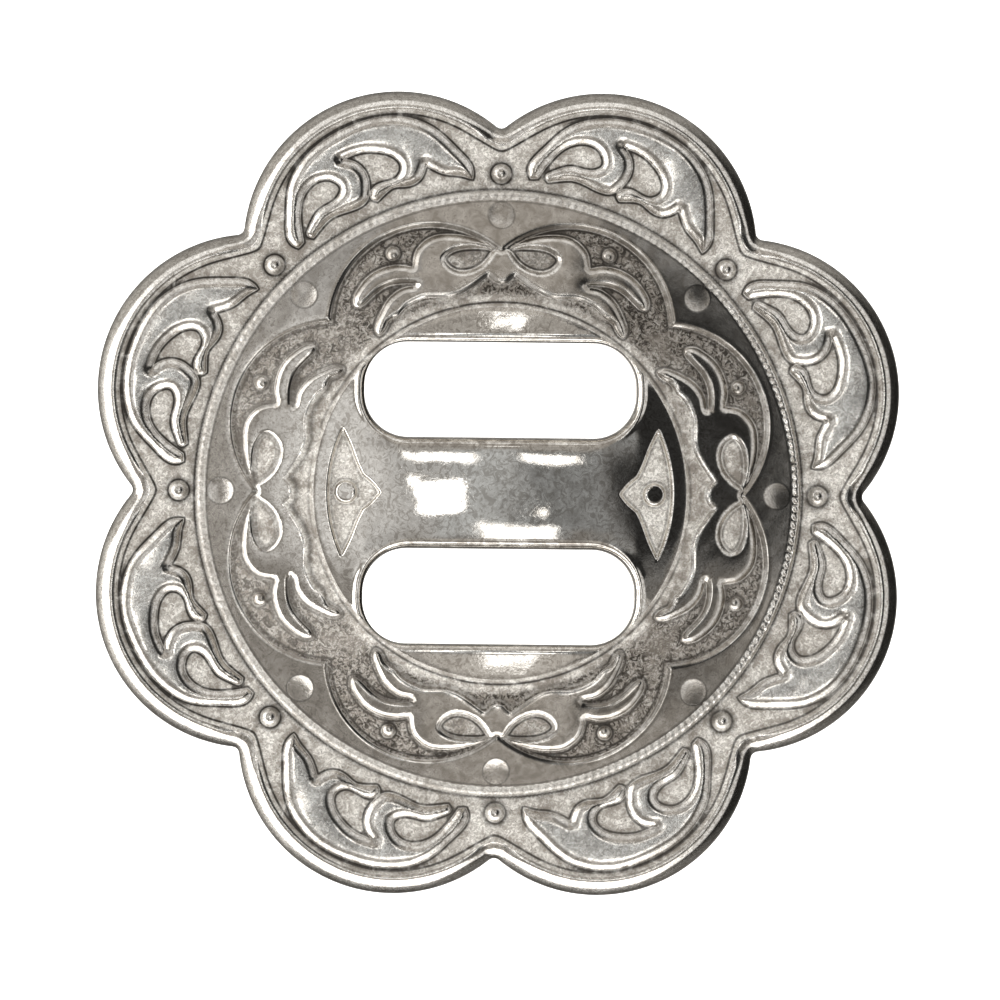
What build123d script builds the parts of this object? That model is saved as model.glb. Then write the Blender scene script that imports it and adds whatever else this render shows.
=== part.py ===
from build123d import *
import os
from math import asin, cos, degrees, radians, sin, sqrt

# Sizes in millimetres. The flat back lies on z = 0, the face looks up,
# and the origin is the middle of the back.

# Flange
overall_width = 44.45
lobe_count = 8
lobe_radius = 8.17
valley_round = 1.3
flange_thickness = 1.5
back_edge_round = 0.25

# Border round the flange
border_width = 1.16
border_rise = 0.55
border_round = 0.5
border_bevel = 0.3
border_valley_round = 1.4

# Scroll on each lobe
scroll_width = 10.27
scroll_height = 4.9
scroll_rise = 0.35
scroll_clearance = 0.24

# Bead in each valley
valley_bead_width = 1.05
valley_bead_rise = 0.4
valley_bead_clearance = 0.57

# Dome
dome_diameter = 32.0
dome_rise = 4.2
dome_wall = 1.6
ridge_width = 0.7
relief_rise = 0.3

# Spandrels, with the dimple in each and the small beads between them and the bows
window_radius = 5.5
window_inset = 1.04
spandrel_depth = 4.0
dimple_width = 1.4
dimple_depth = 0.25
dimple_inset = 1.35
small_bead_width = 0.85
small_bead_inset = 2.2
small_bead_angle = 24.4

# Bows
bow_count = 4
bow_width = 15.7
bow_height = 5.48
crossing_width = 0.36

# Middle disc, with a diamond and its dot at each end of the bar
disc_diameter = 20.0
diamond_width = 2.85
diamond_height = 6.95
diamond_margin = 0.91
dot_width = 1.3
dot_margin = 0.33

# Strap slots and the bar between them
slot_length = 14.33
slot_width = 5.0
slot_corner = 2.3
slot_edge_round = 1.1
bar_width = 5.86

# Scroll outline, a stroke from corner to corner. Each row is how far across, as a share of
# half the width, and how far out, as a share of the height.
scroll_strokes = {
    "outer edge": [
        (-0.96, 0.01), (-1.00, 0.06), (-0.95, 0.35), (-0.80, 0.66), (-0.51, 0.89), (0.00, 1.00),
        (0.41, 0.94), (0.77, 0.66), (0.94, 0.30), (0.99, 0.09), (0.96, 0.00),
    ],
    "under the thick tip": [(0.96, 0.00), (0.86, 0.08), (0.72, 0.16), (0.64, 0.24), (0.57, 0.33)],
    "under the finger": [
        (0.57, 0.33), (0.52, 0.26), (0.45, 0.20), (0.31, 0.19), (0.18, 0.23), (0.06, 0.20), (-0.03, 0.16),
    ],
    "middle hollow": [
        (-0.03, 0.16), (-0.07, 0.20), (-0.03, 0.28), (0.10, 0.30), (0.25, 0.30), (0.34, 0.41),
        (0.29, 0.55), (0.16, 0.65), (0.00, 0.71), (-0.22, 0.71),
    ],
    "leaf": [
        (-0.22, 0.71), (-0.10, 0.62), (-0.04, 0.46), (-0.07, 0.31), (-0.14, 0.20), (-0.25, 0.17),
        (-0.55, 0.17), (-0.68, 0.11), (-0.78, 0.05),
    ],
    "tail hollow": [
        (-0.78, 0.05), (-0.82, 0.09), (-0.78, 0.15), (-0.62, 0.28), (-0.41, 0.33), (-0.32, 0.43),
        (-0.41, 0.57), (-0.57, 0.59), (-0.74, 0.48), (-0.84, 0.29), (-0.90, 0.04),
    ],
    "tail tip": [(-0.90, 0.04), (-0.96, 0.01)],
}

# Right half of a bow, from its crossing inwards. Each row is how far across, as a share of
# half the width, and how far in from the crossing, as a share of the height.
bow_strokes = {
    "shoulder": [
        (0.00, 0.00), (0.15, -0.09), (0.26, -0.13), (0.36, -0.14), (0.46, -0.12), (0.53, -0.06),
        (0.58, 0.03), (0.60, 0.18),
    ],
    "long finger": [
        (0.60, 0.18), (0.67, 0.16), (0.75, 0.17), (0.83, 0.21), (0.91, 0.29), (0.97, 0.40),
        (1.00, 0.51), (0.98, 0.59), (0.94, 0.59), (0.90, 0.55), (0.79, 0.41), (0.72, 0.37), (0.58, 0.36),
    ],
    "short finger": [
        (0.58, 0.36), (0.66, 0.38), (0.72, 0.43), (0.77, 0.50), (0.81, 0.60), (0.84, 0.70),
        (0.85, 0.80), (0.82, 0.86), (0.79, 0.84), (0.75, 0.75), (0.66, 0.55), (0.59, 0.49),
        (0.51, 0.45), (0.34, 0.44), (0.22, 0.36), (0.15, 0.29), (0.09, 0.23),
    ],
    "notch": [(0.09, 0.23), (0.05, 0.30), (0.03, 0.36), (0.00, 0.38)],
    "middle": [(0.00, 0.38), (0.00, 0.00)],
}

# Teardrop sunk in each half of a bow, in the same shares as the bow
teardrop_strokes = {
    "drop": [
        (0.03, 0.00), (0.08, -0.02), (0.17, -0.03), (0.27, -0.02), (0.35, 0.02), (0.40, 0.10),
        (0.36, 0.20), (0.27, 0.25), (0.19, 0.23), (0.11, 0.16), (0.03, 0.00),
    ],
}

# Upper inner side of a diamond. Each row is how far in from the outer edge, as a share of
# the width, and how far up, as a share of half the height.
diamond_strokes = {
    "flank": [(0.28, 1.00), (0.46, 0.70), (0.59, 0.42), (0.68, 0.27)],
    "nose": [(0.68, 0.27), (0.83, 0.17), (1.00, 0.00)],
}

# Places that follow from the sizes
lobe_distance = overall_width / 2 - lobe_radius
half_lobe_turn = 180 / lobe_count
valley_along = lobe_distance * cos(radians(half_lobe_turn))
valley_across = lobe_distance * sin(radians(half_lobe_turn))
dome_radius = dome_diameter / 2
disc_radius = disc_diameter / 2
cap_radius = (dome_radius**2 + dome_rise**2) / (2 * dome_rise)
cap_center = flange_thickness + dome_rise - cap_radius
window_distance = dome_radius - window_inset - window_radius
ridge_radius = dome_radius - ridge_width / 2
slot_middle = (bar_width + slot_width) / 2
relief_top = flange_thickness + dome_rise + relief_rise


def valley_radius(rim_radius, rounding):
    """Distance from the middle to the bottom of a rounded valley between two lobes."""
    return valley_along + sqrt((rim_radius + rounding) ** 2 - valley_across**2) - rounding


def dome_height(distance):
    """Height of the plain dome at a distance from the middle."""
    return cap_center + sqrt(cap_radius**2 - distance**2)


def dome_lean(distance):
    """Lean of the dome at a distance from the middle, in degrees."""
    return degrees(asin(distance / cap_radius))


def crossing_distance():
    """Distance from the middle to the point where two neighbouring windows cross."""
    along = window_distance * cos(radians(half_lobe_turn))
    across = window_distance * sin(radians(half_lobe_turn))
    return along + sqrt(window_radius**2 - across**2)


def rows_to_face(strokes, place):
    """Face inside strokes that join corner to corner; place turns a row into a point."""
    edges = []
    for rows in strokes.values():
        points = [place(*row) for row in rows]
        if len(points) == 2:
            edges.append(Line(*points))
        else:
            edges.append(Spline(*points))
    return make_face(edges)


def copies(shape, count, first=0):
    """Copies of a shape drawn on the +Y axis, evenly turned round the middle from a first angle."""
    return [Rot(0, 0, first + 360 * i / count) * shape for i in range(count)]


def on_lobes(shape):
    """A copy of the shape on each lobe."""
    return copies(shape, lobe_count, half_lobe_turn)


def on_valleys(shape):
    """A copy of the shape on each valley."""
    return copies(shape, lobe_count)


def lobed_sketch(rim_radius, rounding):
    """Scalloped outline with round lobes and rounded valleys."""
    lobes = on_lobes(Pos(0, lobe_distance) * Circle(rim_radius))
    plate = Circle(valley_along) + lobes
    return fillet(plate.vertices(), rounding)


def flange():
    """Scalloped plate with its raised border, open under the dome."""
    plate = extrude(lobed_sketch(lobe_radius, valley_round), flange_thickness + border_rise)
    plate = fillet(plate.faces().sort_by(Axis.Z)[-1].edges(), border_round)
    plate = fillet(plate.faces().sort_by(Axis.Z)[0].edges(), back_edge_round)
    field = extrude(lobed_sketch(lobe_radius - border_width, border_valley_round), border_rise)
    plate -= Pos(0, 0, flange_thickness) * field
    inner_edges = plate.faces().filter_by(Axis.Z).sort_by(Axis.Z)[-1].inner_wires()[0].edges()
    plate = chamfer(inner_edges, border_bevel)
    return plate - Cylinder(dome_radius - dome_wall, 2 * flange_thickness)


def scroll():
    """One scroll, on the lobe at +Y."""
    top = overall_width / 2 - border_width - scroll_clearance

    def place(across, out):
        return (across * scroll_width / 2, top - (1 - out) * scroll_height)

    return extrude(rows_to_face(scroll_strokes, place), flange_thickness + scroll_rise)


def bead(width, rise):
    """Ball whose top stands above the plane through its middle by rise, as wide as width."""
    radius = (width**2 / 4 + rise**2) / (2 * rise)
    return Pos(0, 0, rise - radius) * Sphere(radius)


def valley_bead():
    """Bead inside the border's valley at +Y."""
    inner_valley = valley_radius(lobe_radius - border_width, border_valley_round)
    distance = inner_valley - valley_bead_clearance - valley_bead_width / 2
    return Pos(0, distance, flange_thickness) * bead(valley_bead_width, valley_bead_rise)


def slot_sketch():
    """Both strap slots."""
    slot = RectangleRounded(slot_length, slot_width, slot_corner)
    return Pos(0, slot_middle) * slot + Pos(0, -slot_middle) * slot


def slotted_cap(lift):
    """Solid dome lifted by lift, with the slots cut and their upper edges rolled."""
    ball = Pos(0, 0, cap_center + lift) * Sphere(cap_radius)
    cap = ball & (Pos(0, 0, relief_top / 2) * Cylinder(dome_radius, relief_top))
    cap -= extrude(slot_sketch(), relief_top)
    dome_face = cap.faces().sort_by(Axis.Z)[-1]
    rims = [edge for wire in dome_face.inner_wires() for edge in wire.edges()]
    return fillet(rims, slot_edge_round)


def spandrels():
    """Ring under the ridge, with a round window on each lobe's axis."""
    ring = Circle(ridge_radius) - Circle(dome_radius - spandrel_depth)
    return ring - on_lobes(Pos(0, window_distance) * Circle(window_radius))


def bow():
    """Bow at +Y, with its two teardrops and the knot at its crossing."""
    crossing = crossing_distance()

    def place(across, drop):
        return (across * bow_width / 2, crossing - drop * bow_height)

    half = rows_to_face(bow_strokes, place) - rows_to_face(teardrop_strokes, place)
    knot = Pos(0, crossing) * Circle(crossing_width / 2)
    return half + mirror(half, Plane.YZ) + knot


def diamond():
    """Diamond at the +X end of the bar, less its dot."""
    outer = disc_radius - diamond_margin

    def place(inset, up):
        return (outer - inset * diamond_width, up * diamond_height / 2)

    tip = place(*diamond_strokes["flank"][0])
    upper = [Spline(*[place(*row) for row in rows]) for rows in diamond_strokes.values()]
    lower = [mirror(edge, Plane.XZ) for edge in upper]
    back = ThreePointArc(tip, (outer, 0), (tip[0], -tip[1]))
    dot_middle = outer - dot_margin - dot_width / 2
    return make_face(upper + lower + [back]) - Pos(dot_middle, 0) * Circle(dot_width / 2)


def disc():
    """Middle disc with both diamonds sunk in it."""
    return Circle(disc_radius) - diamond() - mirror(diamond(), Plane.YZ)


def raised_layer():
    """Spandrels, bows and disc, standing above the dome by the relief's rise."""
    sketch = spandrels() + copies(bow(), bow_count) + disc()
    return extrude(sketch, relief_top) & slotted_cap(relief_rise)


def ridge():
    """Round ridge at the foot of the dome."""
    return Pos(0, 0, dome_height(ridge_radius)) * Torus(ridge_radius, ridge_width / 2)


def small_beads():
    """Two small beads beside each bow, sitting on the plain dome."""
    distance = dome_radius - small_bead_inset
    place = Pos(0, distance, dome_height(distance)) * Rot(-dome_lean(distance), 0, 0)
    shape = place * Sphere(small_bead_width / 2)
    return copies(shape, bow_count, -small_bead_angle) + copies(shape, bow_count, small_bead_angle)


def dimple():
    """Ball that sinks a round dish in the spandrel at +Y."""
    distance = dome_radius - dimple_inset
    place = Pos(0, distance, dome_height(distance) + relief_rise) * Rot(-dome_lean(distance), 0, 0)
    return place * Rot(180, 0, 0) * bead(dimple_width, dimple_depth)


def hollow():
    """Space behind the dome, open at the back."""
    ball = Pos(0, 0, cap_center) * Sphere(cap_radius - dome_wall)
    return ball & (Pos(0, 0, relief_top / 2) * Box(overall_width, overall_width, relief_top))


def concho():
    """The whole casting."""
    body = flange() + slotted_cap(0) + raised_layer() + ridge()
    body += on_lobes(scroll())
    body += on_valleys(valley_bead())
    body += small_beads()
    body -= on_valleys(dimple())
    return body - hollow()


os.makedirs("parts", exist_ok=True)
part = concho()
export_step(part, "parts/concho.step")
print(f"volume {part.volume:.1f} mm3, solids {len(part.solids())}, height {part.bounding_box().size.Z:.2f} mm")
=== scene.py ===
import math
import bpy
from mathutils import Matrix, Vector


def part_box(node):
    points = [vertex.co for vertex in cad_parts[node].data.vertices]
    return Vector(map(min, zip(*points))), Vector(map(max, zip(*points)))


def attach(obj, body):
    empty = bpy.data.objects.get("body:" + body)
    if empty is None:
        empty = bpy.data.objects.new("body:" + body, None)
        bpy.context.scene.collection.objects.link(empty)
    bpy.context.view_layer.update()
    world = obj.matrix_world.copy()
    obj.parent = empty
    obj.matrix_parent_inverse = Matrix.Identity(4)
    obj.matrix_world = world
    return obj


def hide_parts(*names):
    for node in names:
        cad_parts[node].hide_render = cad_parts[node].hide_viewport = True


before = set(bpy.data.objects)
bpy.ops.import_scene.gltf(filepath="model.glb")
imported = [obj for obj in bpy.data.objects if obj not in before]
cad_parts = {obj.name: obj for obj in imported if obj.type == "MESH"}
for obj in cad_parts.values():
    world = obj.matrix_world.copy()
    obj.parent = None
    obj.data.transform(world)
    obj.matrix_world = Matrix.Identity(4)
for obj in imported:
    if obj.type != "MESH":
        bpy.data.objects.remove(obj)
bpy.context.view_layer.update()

from types import SimpleNamespace

import bmesh
import bpy
import numpy as np
from mathutils import Matrix, Vector
from mathutils.geometry import delaunay_2d_cdt

# Lengths below are in millimetres until the mesh is made, and angles in degrees.
mm = 0.001
caseLow, caseHigh = [np.array(corner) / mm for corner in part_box("concho")]


# Shared shape helpers

# Points (n, 2) turned round the middle.
def turned(points, angle):
    c, s = math.cos(math.radians(angle)), math.sin(math.radians(angle))
    return points @ np.array([[c, s], [-s, c]])


# The same points once on each of count places round the middle.
def repeated(points, count, first=0.0):
    return np.vstack([turned(points, first + 360 * i / count) for i in range(count)])


# A step from 0 to 1 as t goes from 0 to 1, straight in its middle, tight at its foot and rounder
# at its shoulder, like the side of cast relief.
def bevelStep(t, foot=0.1, shoulder=0.35):
    t = np.clip(t, -foot, 1 + shoulder)
    low = np.where(t < foot, (t + foot) ** 2 / (4 * foot), t)
    return np.where(t > 1 - shoulder, 1 - (1 + shoulder - t) ** 2 / (4 * shoulder), low)


# How far a top has swelled at a depth in from its edge, from 0 to 1.
def swell(depth, reach):
    return 1 - np.exp(-np.maximum(depth, 0) / reach)


# A hump of height 1 on the line where d is 0.
def hump(d, width):
    return np.exp(-(d / width) ** 2)


# A rise from 0 to 1 over a width.
def ramp(d, width):
    return np.clip(d / width, 0, 1)


# A round cap of height 1 on a circle of a radius; d is the distance out from the circle.
def roundCap(d, radius):
    return np.clip(1 - (d / radius + 1) ** 2, 0, 1)


def distanceTo(points, x, y):
    return np.hypot(points[:, 0] - x, points[:, 1] - y)


# How far an edge has dropped at a distance d in from it, as a rolled quarter of an ellipse.
def rolledDrop(d, width, drop):
    t = np.clip(1 - d / width, 0, 1)
    return drop * (1 - np.sqrt(1 - t * t))


# A smooth line through knots, as points about spacing apart, without its last point.
def lineThrough(knots, spacing):
    knots = np.array(knots, float)
    chord = np.concatenate([[0], np.cumsum(np.hypot(*np.diff(knots, axis=0).T))])
    t = np.linspace(0, chord[-1], max(2, int(round(chord[-1] / spacing)) + 1))[:-1]
    if len(knots) == 2:
        return knots[0] + (knots[1] - knots[0]) * (t / chord[-1])[:, None]
    n = len(knots)
    gap = np.diff(chord)
    system, pull = np.eye(n), np.zeros((n, 2))
    for i in range(1, n - 1):
        system[i, i - 1 : i + 2] = gap[i - 1], 2 * (gap[i - 1] + gap[i]), gap[i]
        pull[i] = 6 * ((knots[i + 1] - knots[i]) / gap[i] - (knots[i] - knots[i - 1]) / gap[i - 1])
    bend = np.linalg.solve(system, pull)
    i = np.clip(np.searchsorted(chord, t, side="right") - 1, 0, n - 2)
    a, b, h = (chord[i + 1] - t)[:, None], (t - chord[i])[:, None], gap[i][:, None]
    cubic = (bend[i] * (a**3 / h - a * h) + bend[i + 1] * (b**3 / h - b * h)) / 6
    return knots[i] * a / h + knots[i + 1] * b / h + cubic


# A closed outline from strokes that run corner to corner; place turns a row into a point.
def outlineFrom(strokes, place, spacing):
    lines = [lineThrough([place(*row) for row in rows], spacing) for rows in strokes.values()]
    return np.vstack(lines)


# Distance to a closed outline, positive inside it, and the number of the nearest side.
def depthAndSide(points, outline, block=4000):
    start, end = outline, np.roll(outline, -1, axis=0)
    side = end - start
    length = (side**2).sum(1)
    depth, nearest = np.empty(len(points)), np.empty(len(points), int)
    for first in range(0, len(points), block):
        p = points[first : first + block, None, :]
        away = p - start
        t = np.clip((away * side).sum(2) / length, 0, 1)
        square = ((away - t[..., None] * side) ** 2).sum(2)
        near = np.sqrt(square.min(1))
        crosses = (start[:, 1] > p[..., 1]) != (end[:, 1] > p[..., 1])
        rise = np.where(side[:, 1] == 0, 1, side[:, 1])
        meets = p[..., 0] < start[:, 0] + side[:, 0] * (p[..., 1] - start[:, 1]) / rise
        inside = (crosses & meets).sum(1) % 2 == 1
        depth[first : first + block] = np.where(inside, near, -near)
        nearest[first : first + block] = square.argmin(1)
    return depth, nearest


def depthInside(points, outline):
    return depthAndSide(points, outline)[0]


# Points seen from the nearest of count evenly spaced places round the middle, turned to +Y.
def seenFrom(points, count, first=0.0):
    angle = np.degrees(np.arctan2(points[:, 1], points[:, 0]))
    step = 360 / count
    nearest = np.round((angle - first) / step) * step + first
    turn = np.radians(90 - nearest)
    c, s = np.cos(turn), np.sin(turn)
    return np.stack([points[:, 0] * c - points[:, 1] * s, points[:, 0] * s + points[:, 1] * c], 1)


# Slow waves of a hand-finished casting: how high at most, how far apart, and the seed
waves = {
    "whole": (0.012, 3.1, 4),
    "disc": (0.002, 1.1, 9),
    "relief": (0.005, 1.1, 9),
    "scrolls": (0.022, 2.1, 21),
    "ridgeWear": (0.5, 2.3, 33),
}
crossingWaves = {"count": 7, "stretch": (0.7, 1.5), "highest": 4}


def wave(points, name):
    height, apart, seed = waves[name]
    rng = np.random.default_rng(seed)
    total = np.zeros(len(points))
    for _ in range(crossingWaves["count"]):
        angle, phase = rng.uniform(0, 2 * math.pi, 2)
        length = apart * rng.uniform(*crossingWaves["stretch"])
        along = points[:, 0] * math.cos(angle) + points[:, 1] * math.sin(angle)
        total += np.sin(along * 2 * math.pi / length + phase)
    return height * total / crossingWaves["highest"]


# Flange and its border
flange = {
    "lobes": 8,
    "lobeRadius": 8.17,
    "valleyRound": 0.4,
    "thickness": 1.5,
    "backRound": 0.25,
}
# The border's outer side leans by the angles in tilts at distances in from the edge. Its inner edge
# leaves each lobe's round at cornerFrom degrees and runs straight to a corner in the valley.
border = {
    "width": 1.16,
    "rise": 0.36,
    "bevel": 0.36,
    "shoulder": 0.25,
    "cornerFrom": 31,
    "cornerRound": 0.26,
    "cornerBevel": 0.4,
    "cornerReach": 1.2,
    "tilts": [(0.0, 66), (0.42, 58), (0.52, 46), (0.7, 40), (0.88, 31), (1.0, 8), (1.06, 0)],
    "tiltSteps": 106,
    "halvings": 26,
}
lobes = flange["lobes"]
rimRadius, valleyRound = flange["lobeRadius"], flange["valleyRound"]
halfTurn = 180 / lobes
halfSin, halfCos = math.sin(math.radians(halfTurn)), math.cos(math.radians(halfTurn))
lobeDistance = (caseHigh[0] - rimRadius) / halfCos
outerRadius = lobeDistance + rimRadius
valleyAlong, valleyAcross = lobeDistance * halfCos, lobeDistance * halfSin
# centre of the round that fills a valley, as seen from the lobe beside it
valleyReach = valleyAlong + math.sqrt((rimRadius + valleyRound) ** 2 - valleyAcross**2)
roundX, roundY = valleyReach * halfSin, valleyReach * halfCos


# Depth in from the rim. Points are given as seen from their own lobe.
def rimDepth(lobePoints):
    u, v = np.abs(lobePoints[:, 0]), lobePoints[:, 1]
    depth = rimRadius - np.hypot(u, v - lobeDistance)
    onRound = roundX * (v - lobeDistance) - (roundY - lobeDistance) * u < 0
    return np.where(onRound, np.hypot(u - roundX, v - roundY) - valleyRound, depth)


# How far the border's outer side has dropped at a distance in from the edge.
def rimDrop(inRim):
    distance = np.linspace(0, border["tilts"][-1][0], border["tiltSteps"] + 1)
    slope = np.tan(np.radians(np.interp(distance, *zip(*border["tilts"]))))
    step = (slope[1:] + slope[:-1]) / 2 * (distance[1] - distance[0])
    return np.interp(inRim, distance, np.append(step[::-1].cumsum()[::-1], 0))


# Distance in the valley from the middle to the corner of the border's inner edge.
def cornerDistance():
    lean = math.radians(border["cornerFrom"])
    inner = rimRadius - border["width"]
    across = valleyAcross - inner * math.sin(lean)
    return valleyAlong + inner * math.cos(lean) - across * math.tan(lean)


# Distance out from the border's inner edge, for points as seen from their lobe and their valley.
def borderDepth(lobePoints, valleyPoints):
    lean = math.radians(border["cornerFrom"])
    u, v = np.abs(lobePoints[:, 0]), lobePoints[:, 1] - lobeDistance
    onRound = np.hypot(u, v) - (rimRadius - border["width"])
    across = np.hypot(valleyPoints[:, 0], border["cornerRound"])
    onCorner = (valleyPoints[:, 1] - cornerDistance()) * math.cos(lean) - across * math.sin(lean)
    nearRound = np.degrees(np.arctan2(u, v)) < border["cornerFrom"] + halfTurn
    return np.where(nearRound, onRound, onCorner)


# The border's inner edge at a depth into the border, as evenly spaced points.
def borderLine(depth, spacing):
    step = math.degrees(spacing / (outerRadius - border["width"]))
    angles = np.radians(np.arange(-halfTurn, halfTurn, step))
    way = np.stack([np.sin(angles), np.cos(angles)], 1)
    low, high = np.full(len(angles), valleyAlong), np.full(len(angles), outerRadius)
    for _ in range(border["halvings"]):
        middle = (low + high) / 2
        points = way * middle[:, None]
        beyond = borderDepth(points, seenFrom(turned(points, halfTurn), lobes)) > depth
        low, high = np.where(beyond, low, middle), np.where(beyond, middle, high)
    return repeated(way * low[:, None], lobes, halfTurn)


# The rim and its inward directions, as evenly spaced points.
def rimLine(spacing):
    lobeEnd = math.degrees(math.atan2(roundX, roundY - lobeDistance))
    lobeCount = int(2 * math.radians(lobeEnd) * rimRadius / spacing)
    lobeAngles = np.radians(np.linspace(-lobeEnd, lobeEnd, lobeCount + 1))
    lobeWay = np.stack([np.sin(lobeAngles), np.cos(lobeAngles)], 1)
    roundEnd = lobeEnd - halfTurn
    roundCount = max(4, int(2 * math.radians(roundEnd) * valleyRound / spacing))
    roundAngles = np.radians(np.linspace(roundEnd, -roundEnd, roundCount + 1)[1:-1] + halfTurn)
    roundWay = -np.stack([np.sin(roundAngles), np.cos(roundAngles)], 1)
    points = np.vstack([lobeWay * rimRadius + [0, lobeDistance], roundWay * valleyRound + [roundX, roundY]])
    inward = np.vstack([-lobeWay, roundWay])
    turns = [-(halfTurn + 360 * i / lobes) for i in range(lobes)]
    return np.vstack([turned(points, t) for t in turns]), np.vstack([turned(inward, t) for t in turns])


# Scroll on each lobe. A row is how far across, as a share of half the width, and how far out,
# as a share of the height.
scroll = {
    "width": 10.27,
    "height": 4.9,
    "rise": 0.3,
    "clearance": 0.24,
    "bevel": 0.4,
    "spread": 0.08,
    "crown": 0.04,
    "crownFrom": 0.7,
    "crownReach": 0.5,
    "strokes": {
        "outer edge": [
            (-0.96, 0.01), (-1.0, 0.06), (-0.95, 0.35), (-0.8, 0.66), (-0.51, 0.89), (0.0, 1.0),
            (0.41, 0.94), (0.77, 0.66), (0.94, 0.3), (0.99, 0.09), (0.96, 0.0),
        ],
        "under the thick tip": [(0.96, 0.0), (0.86, 0.08), (0.72, 0.16), (0.64, 0.24), (0.57, 0.33)],
        "under the finger": [
            (0.57, 0.33), (0.52, 0.26), (0.45, 0.2), (0.31, 0.19), (0.18, 0.23), (0.06, 0.2),
            (-0.03, 0.16),
        ],
        "middle hollow": [
            (-0.03, 0.16), (-0.07, 0.2), (-0.03, 0.28), (0.1, 0.3), (0.25, 0.3), (0.34, 0.41),
            (0.29, 0.55), (0.16, 0.65), (0.0, 0.71), (-0.22, 0.71),
        ],
        "leaf": [
            (-0.22, 0.71), (-0.1, 0.62), (-0.04, 0.46), (-0.07, 0.31), (-0.14, 0.2), (-0.25, 0.17),
            (-0.55, 0.17), (-0.68, 0.11), (-0.78, 0.05),
        ],
        "tail hollow": [
            (-0.78, 0.05), (-0.82, 0.09), (-0.78, 0.15), (-0.62, 0.28), (-0.41, 0.33), (-0.32, 0.43),
            (-0.41, 0.57), (-0.57, 0.59), (-0.74, 0.48), (-0.84, 0.29), (-0.9, 0.04),
        ],
        "tail tip": [(-0.9, 0.04), (-0.96, 0.01)],
    },
}


def scrollPlace(across, out):
    top = outerRadius - border["width"] - scroll["clearance"]
    return across * scroll["width"] / 2, top - (1 - out) * scroll["height"]


# Beads in the valleys and beside the bows, and dimples in the spandrels
beads = {
    "valleyWidth": 1.05,
    "valleyRise": 0.4,
    "valleyGap": 0.72,
    "smallWidth": 0.8,
    "smallRise": 0.3,
    "smallInset": 2.2,
    "smallAngle": 24.4,
    "moat": 0.06,
    "valleyMoat": {"away": 0.05, "width": 0.08},
    "smallMoat": {"away": 0.12, "width": 0.12},
}
dimples = {"width": 1.4, "depth": 0.1, "inset": 1.35}

beadRadius, smallRadius = beads["valleyWidth"] / 2, beads["smallWidth"] / 2
beadDistance = cornerDistance() + border["cornerRound"] * math.tan(math.radians(border["cornerFrom"]))
beadDistance -= beads["valleyGap"] + beadRadius


# How deep the ground sinks round a bead, at a distance out from it.
def moatDepth(fromBead, name):
    return beads["moat"] * hump(fromBead - beads[name]["away"], beads[name]["width"])


# Dome, its ridge and its relief
dome = {"diameter": 32.0, "wall": 1.6, "reliefRise": 0.3}
ridge = {"width": 0.56, "rise": 0.46, "inset": 0.04, "strands": 230, "slant": 0.8, "notch": 0.34}
domeRadius = dome["diameter"] / 2
domeRise = caseHigh[2] - flange["thickness"] - dome["reliefRise"]
capRadius = (domeRadius**2 + domeRise**2) / (2 * domeRise)
capCentre = flange["thickness"] + domeRise - capRadius
ridgeRadius = domeRadius - ridge["inset"] - ridge["width"] / 2
spandrels = {"windowRadius": 5.5, "windowInset": 1.04, "depth": 4.0, "bevel": 0.32}
windowDistance = domeRadius - spandrels["windowInset"] - spandrels["windowRadius"]

# Bows. A row is how far across, as a share of half the width, and how far in from the crossing,
# as a share of the height.
bows = {
    "count": 4,
    "width": 15.7,
    "height": 5.48,
    "crossingWidth": 0.36,
    "bevel": 0.28,
    "skirt": 0.42,
    "sideReach": 0.2,
    "polishReach": 0.22,
    "polishGrow": 0.02,
    "teardropGrow": 0.06,
    "crown": 0.03,
    "crownReach": 0.4,
    "strokes": {
        "shoulder": [
            (0.0, 0.0), (0.15, -0.09), (0.26, -0.13), (0.36, -0.14), (0.46, -0.12), (0.53, -0.06),
            (0.58, 0.03), (0.6, 0.18),
        ],
        "long finger": [
            (0.6, 0.18), (0.67, 0.16), (0.75, 0.17), (0.83, 0.21), (0.91, 0.29), (0.97, 0.4),
            (1.0, 0.51), (0.98, 0.59), (0.94, 0.59), (0.9, 0.55), (0.79, 0.41), (0.72, 0.37),
            (0.58, 0.36),
        ],
        "short finger": [
            (0.58, 0.36), (0.66, 0.38), (0.72, 0.43), (0.77, 0.5), (0.81, 0.6), (0.84, 0.7),
            (0.85, 0.8), (0.82, 0.86), (0.79, 0.84), (0.75, 0.75), (0.66, 0.55), (0.59, 0.49),
            (0.51, 0.45), (0.34, 0.44), (0.22, 0.36), (0.15, 0.29), (0.09, 0.23),
        ],
        "notch": [(0.09, 0.23), (0.05, 0.27), (0.03, 0.3), (0.0, 0.31)],
    },
    "skirtFrom": (0.75, 0.75),
    "skirtFade": 6,
    "teardrop": {
        "drop": [
            (0.03, 0.0), (0.08, -0.02), (0.17, -0.03), (0.27, -0.02), (0.35, 0.02), (0.4, 0.1),
            (0.36, 0.2), (0.27, 0.25), (0.19, 0.23), (0.11, 0.16), (0.03, 0.0),
        ],
    },
}


def crossingDistance():
    across = windowDistance * halfSin
    return windowDistance * halfCos + math.sqrt(spandrels["windowRadius"] ** 2 - across**2)


def bowPlace(across, drop):
    return across * bows["width"] / 2, crossingDistance() - drop * bows["height"]


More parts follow.
